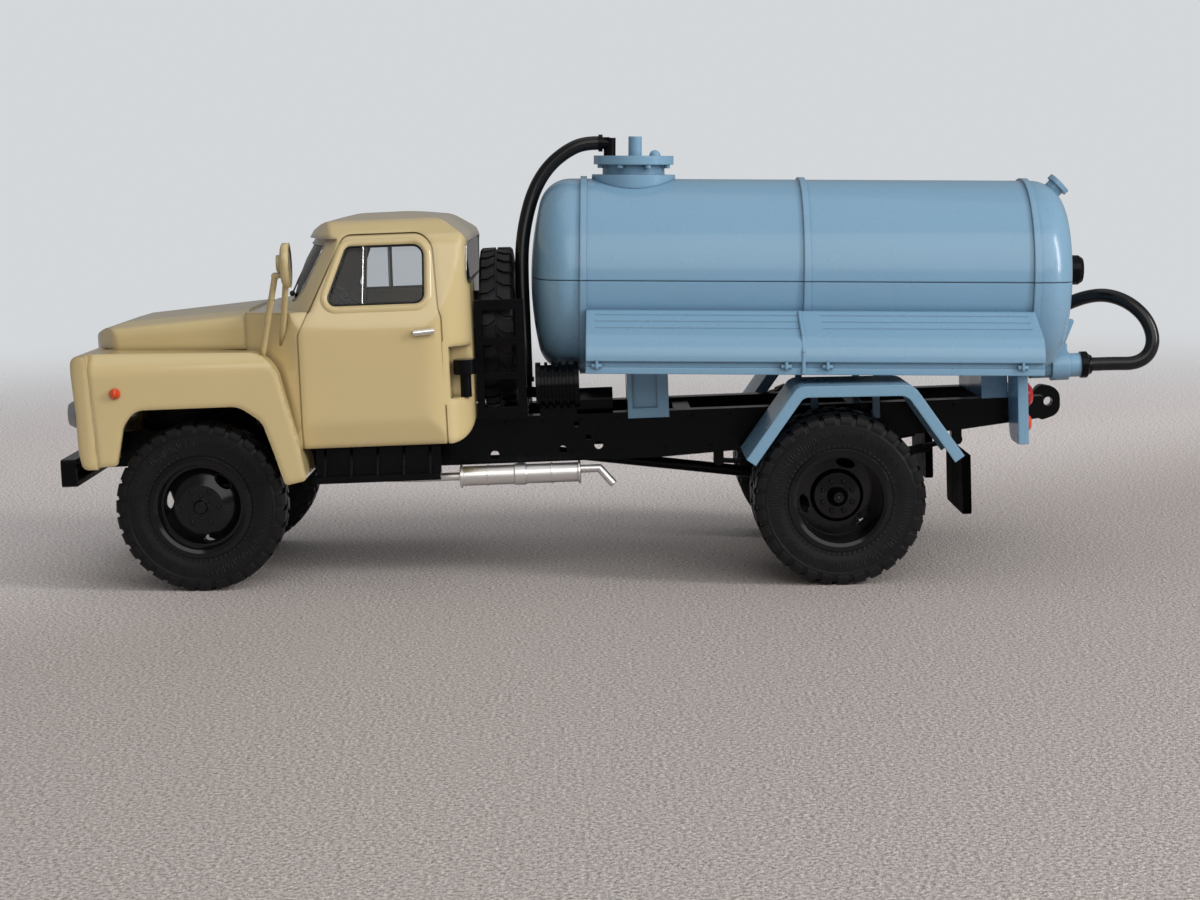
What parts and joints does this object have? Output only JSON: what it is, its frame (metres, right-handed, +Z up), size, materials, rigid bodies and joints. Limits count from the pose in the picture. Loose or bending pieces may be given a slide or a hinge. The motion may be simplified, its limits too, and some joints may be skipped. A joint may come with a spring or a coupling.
{
  "type": "toy vacuum tanker truck",
  "caption": "Scale model of a bonneted truck with a vacuum tank, hose and pump, rolling on plain and twin wheels.",
  "frame": {"origin": "on the ground, under the middle of the rigid truck's overall length and width", "axes": "+X forwards, +Y to the truck's left, +Z up"},
  "size_m": [0.1528, 0.0542, 0.0607],
  "materials": {
    "tyre": "matt",
    "rim": "satin",
    "steel": "bright",
    "chassis": "satin",
    "cab_paint": "gloss",
    "glass": "clear",
    "interior": "satin",
    "seat": "matt",
    "lamp_silver": "bright",
    "amber": "clear",
    "black_plastic": "satin",
    "chrome": "bright",
    "bumper": "satin",
    "silencer": "satin",
    "tank_paint": "gloss",
    "hose": "satin",
    "flap": "matt",
    "red_lamp": "clear"
  },
  "bodies": {
    "truck": {"spare_tyre": "tyre", "spare_rim": "rim", "axle_pins": "steel", "frame": "chassis", "leaf_springs": "chassis", "front_axle_beam": "chassis", "rear_axle": "chassis", "engine_gearbox": "chassis", "propeller_shaft": "chassis", "cab_shell": "cab_paint", "windscreen": "glass", "rear_window": "glass", "door_glasses": "glass", "cab_floor": "interior", "dashboard": "interior", "seat": "seat", "steering_wheel": "interior", "bonnet": "cab_paint", "front_panel": "cab_paint", "grille": "cab_paint", "headlamps": "lamp_silver", "turn_lamps": "amber", "wing_left": "cab_paint", "wing_right": "cab_paint", "door_mirrors": "cab_paint", "door_handles": "chrome", "cab_steps": "black_plastic", "front_bumper": "bumper", "exhaust": "silencer", "spare_carrier": "black_plastic", "tank_upper": "tank_paint", "tank_lower": "tank_paint", "hose_trays": "tank_paint", "tank_cradles": "tank_paint", "manhole": "tank_paint", "hose_elbow": "black_plastic", "vacuum_pump": "black_plastic", "vacuum_hose": "hose", "outlet_valve": "tank_paint", "hose_coupling": "black_plastic", "suction_hose": "hose", "sight_glass": "black_plastic", "tank_vent": "tank_paint", "rear_mudguards": "tank_paint", "mudflaps": "flap", "rear_lamp_panels": "tank_paint", "rear_stop_lamps": "red_lamp", "tow_hook": "chassis", "fuel_filler": "black_plastic"},
    "front_left_wheel": {"front_left_tyre": "tyre", "front_left_rim": "rim"},
    "front_right_wheel": {"front_right_tyre": "tyre", "front_right_rim": "rim"},
    "rear_left_wheels": {"rear_left_tyres": "tyre", "rear_left_rims": "rim"},
    "rear_right_wheels": {"rear_right_tyres": "tyre", "rear_right_rims": "rim"}
  },
  "joints": [
    {"name": "front_left_spin", "type": "hinge", "parent": "truck", "child": "front_left_wheel", "pos_m": [0.05314, 0.01895, 0.0115], "axis": [0, 1, 0], "continuous": true},
    {"name": "front_right_spin", "type": "hinge", "parent": "truck", "child": "front_right_wheel", "pos_m": [0.05314, -0.01895, 0.0115], "axis": [0, 1, 0], "continuous": true},
    {"name": "rear_left_spin", "type": "hinge", "parent": "truck", "child": "rear_left_wheels", "pos_m": [-0.03288, 0.01965, 0.0115], "axis": [0, 1, 0], "continuous": true},
    {"name": "rear_right_spin", "type": "hinge", "parent": "truck", "child": "rear_right_wheels", "pos_m": [-0.03288, -0.01965, 0.0115], "axis": [0, 1, 0], "continuous": true}
  ]
}
